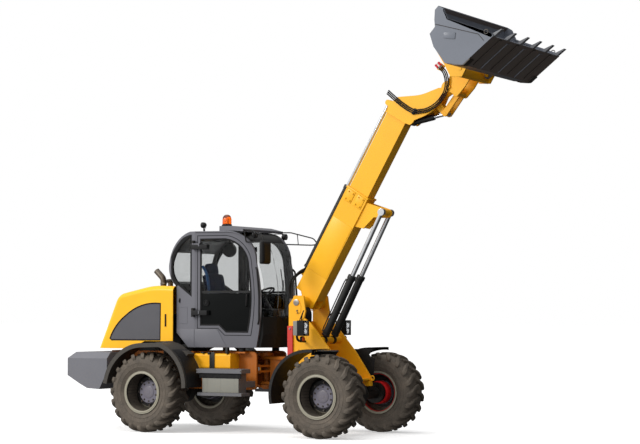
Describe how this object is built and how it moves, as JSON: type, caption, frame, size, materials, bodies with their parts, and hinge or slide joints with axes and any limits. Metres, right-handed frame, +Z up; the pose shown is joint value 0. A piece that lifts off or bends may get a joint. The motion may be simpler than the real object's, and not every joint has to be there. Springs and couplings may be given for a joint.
{
  "type": "wheel loader",
  "caption": "Articulated wheel loader with a cab, a raised telescopic boom, quick coupler and toothed bucket, lugged tyres and opening doors and hood.",
  "frame": {"origin": "on the ground, below the centre of the whole machine with its boom raised", "axes": "+X the way the machine drives, +Y to its left, +Z up"},
  "size_m": [6.7192, 2.06, 5.4049],
  "materials": {
    "dark": "satin",
    "slate": "satin",
    "step": "grip tread",
    "black": "matt",
    "glass": "clear",
    "lamp": "clear lens",
    "seat": "woven",
    "yellow": "gloss",
    "steel": "heat-stained",
    "red": "gloss",
    "chrome": "polished",
    "bucket": "worn",
    "iron": "worn",
    "tyre": "dusty",
    "rim": "satin",
    "hose": "matt"
  },
  "bodies": {
    "chassis": {"rear_frame": "dark", "rear_axle": "dark", "counterweight": "slate", "engine_block": "dark", "side_tanks": "dark", "boarding_steps": "step", "rear_fenders": "black", "cab_floor": "dark", "cab_mounts": "black", "cab_frame": "slate", "door_hinges": "black", "hood_hinges": "dark", "cab_nose": "black", "cab_glass": "glass", "cab_roof": "slate", "roof_lights": "lamp", "mirrors": "black", "cab_interior": "black", "seat_cushion": "seat"},
    "door_right": {"door_right": "slate", "door_glass_right": "glass"},
    "door_left": {"door_left": "slate", "door_glass_left": "glass"},
    "hood": {"hood": "yellow", "hood_grilles": "black", "exhaust": "steel"},
    "front": {"front_frame": "yellow", "front_axle": "yellow", "front_fenders": "black", "headlamps": "lamp", "lock_bar": "red"},
    "outer_boom": {"outer_boom": "yellow", "telescope_barrel": "dark"},
    "inner_boom": {"inner_boom": "yellow", "telescope_rod": "chrome", "head_hoses": "hose"},
    "steering_barrel_right": {"steering_barrel_right": "black"},
    "steering_barrel_left": {"steering_barrel_left": "black"},
    "steering_rod_right": {"steering_rod_right": "chrome"},
    "steering_rod_left": {"steering_rod_left": "chrome"},
    "lift_barrels": {"lift_barrels": "dark"},
    "lift_rods": {"lift_rods": "chrome"},
    "tilt_barrel": {"tilt_barrel": "dark"},
    "tilt_rod": {"tilt_rod": "chrome"},
    "tilt_rocker": {"tilt_rocker": "black"},
    "tilt_link": {"tilt_link": "black"},
    "coupler": {"coupler": "black", "bucket": "bucket", "bucket_teeth": "iron"},
    "wheel_front_left": {"tyre_front_left": "tyre", "rim_front_left": "rim"},
    "wheel_front_right": {"tyre_front_right": "tyre", "rim_front_right": "rim"},
    "wheel_rear_left": {"tyre_rear_left": "tyre", "rim_rear_left": "rim"},
    "wheel_rear_right": {"tyre_rear_right": "tyre", "rim_rear_right": "rim"}
  },
  "joints": [
    {"name": "steer", "type": "hinge", "parent": "chassis", "child": "front", "pos_m": [-0.63, 0, 0.86], "axis": [0, 0, 1], "range_deg": [-40, 40]},
    {"name": "wheel_front_left_spin", "type": "hinge", "parent": "front", "child": "wheel_front_left", "pos_m": [0.74, 0.8135, 0.54], "axis": [0, 1, 0], "continuous": true},
    {"name": "wheel_front_right_spin", "type": "hinge", "parent": "front", "child": "wheel_front_right", "pos_m": [0.74, -0.8135, 0.54], "axis": [0, 1, 0], "continuous": true},
    {"name": "wheel_rear_left_spin", "type": "hinge", "parent": "chassis", "child": "wheel_rear_left", "pos_m": [-2, 0.8135, 0.54], "axis": [0, 1, 0], "continuous": true},
    {"name": "wheel_rear_right_spin", "type": "hinge", "parent": "chassis", "child": "wheel_rear_right", "pos_m": [-2, -0.8135, 0.54], "axis": [0, 1, 0], "continuous": true},
    {"name": "door_right_hinge", "type": "hinge", "parent": "chassis", "child": "door_right", "pos_m": [-1.398, -0.645, 1.145], "axis": [0, 0, -1], "range_deg": [0, 90]},
    {"name": "door_left_hinge", "type": "hinge", "parent": "chassis", "child": "door_left", "pos_m": [-1.398, 0.645, 1.145], "axis": [0, 0, 1], "range_deg": [0, 90]},
    {"name": "hood_hinge", "type": "hinge", "parent": "chassis", "child": "hood", "pos_m": [-1.765, 0, 1.95], "axis": [0, 1, 0], "range_deg": [0, 40]},
    {"name": "lift", "type": "hinge", "parent": "front", "child": "outer_boom", "pos_m": [0.04, 0, 1.75], "axis": [0, -1, 0], "range_deg": [-85, 0]},
    {"name": "telescope", "type": "slide", "parent": "outer_boom", "child": "inner_boom", "axis": [0.5075, 0, 0.8616], "range_m": [-1.05, 0]},
    {"name": "tilt", "type": "hinge", "parent": "inner_boom", "child": "coupler", "pos_m": [2.20983, 0, 4.50957], "axis": [0, 1, 0], "range_deg": [-45, 82]},
    {"name": "lift_barrels_swing", "type": "hinge", "parent": "front", "child": "lift_barrels", "pos_m": [0.33, 0, 1.25], "axis": [0, -1, 0], "range_deg": [-95, 2]},
    {"name": "lift_rods_slide", "type": "slide", "parent": "lift_barrels", "child": "lift_rods", "axis": [0.4667, 0, 0.8844], "range_m": [-0.82, 0.02]},
    {"name": "steering_barrel_right_swing", "type": "hinge", "parent": "chassis", "child": "steering_barrel_right", "pos_m": [-1.33, -0.3, 0.86], "axis": [0, 0, 1], "range_deg": [-6, 6]},
    {"name": "steering_rod_right_slide", "type": "slide", "parent": "steering_barrel_right", "child": "steering_rod_right", "axis": [0.9977, 0.0683, 0], "range_m": [-0.18, 0.18]},
    {"name": "steering_barrel_left_swing", "type": "hinge", "parent": "chassis", "child": "steering_barrel_left", "pos_m": [-1.33, 0.3, 0.86], "axis": [0, 0, 1], "range_deg": [-6, 6]},
    {"name": "steering_rod_left_slide", "type": "slide", "parent": "steering_barrel_left", "child": "steering_rod_left", "axis": [0.9977, -0.0683, 0], "range_m": [-0.18, 0.18]},
    {"name": "tilt_rocker_swing", "type": "hinge", "parent": "inner_boom", "child": "tilt_rocker", "pos_m": [1.98151, 0, 4.3249], "axis": [0, 1, 0], "range_deg": [-30, 52]},
    {"name": "tilt_link_swing", "type": "hinge", "parent": "tilt_rocker", "child": "tilt_link", "pos_m": [2.11953, 0, 4.18093], "axis": [0, 1, 0], "range_deg": [-54, 30]},
    {"name": "tilt_barrel_swing", "type": "hinge", "parent": "inner_boom", "child": "tilt_barrel", "pos_m": [1.62478, 0, 4.09168], "axis": [0, 1, 0], "range_deg": [-6, 10]},
    {"name": "tilt_rod_slide", "type": "slide", "parent": "tilt_barrel", "child": "tilt_rod", "axis": [0.9841, 0, 0.1775], "range_m": [-0.16, 0.1]}
  ],
  "couplings": [
    {"joint": "lift_barrels_swing", "follows": "lift", "ratio": 1.0841},
    {"joint": "lift_rods_slide", "follows": "lift", "m_per_rad": 0.5118},
    {"joint": "steering_barrel_right_swing", "follows": "steer", "ratio": 0.01},
    {"joint": "steering_barrel_left_swing", "follows": "steer", "ratio": 0.01},
    {"joint": "steering_rod_right_slide", "follows": "steer", "m_per_rad": 0.2391},
    {"joint": "steering_rod_left_slide", "follows": "steer", "m_per_rad": -0.2391},
    {"joint": "tilt_rocker_swing", "follows": "tilt", "ratio": 0.596},
    {"joint": "tilt_link_swing", "follows": "tilt", "ratio": -0.611},
    {"joint": "tilt_barrel_swing", "follows": "tilt", "ratio": 0.097},
    {"joint": "tilt_rod_slide", "follows": "tilt", "m_per_rad": -0.1054}
  ]
}
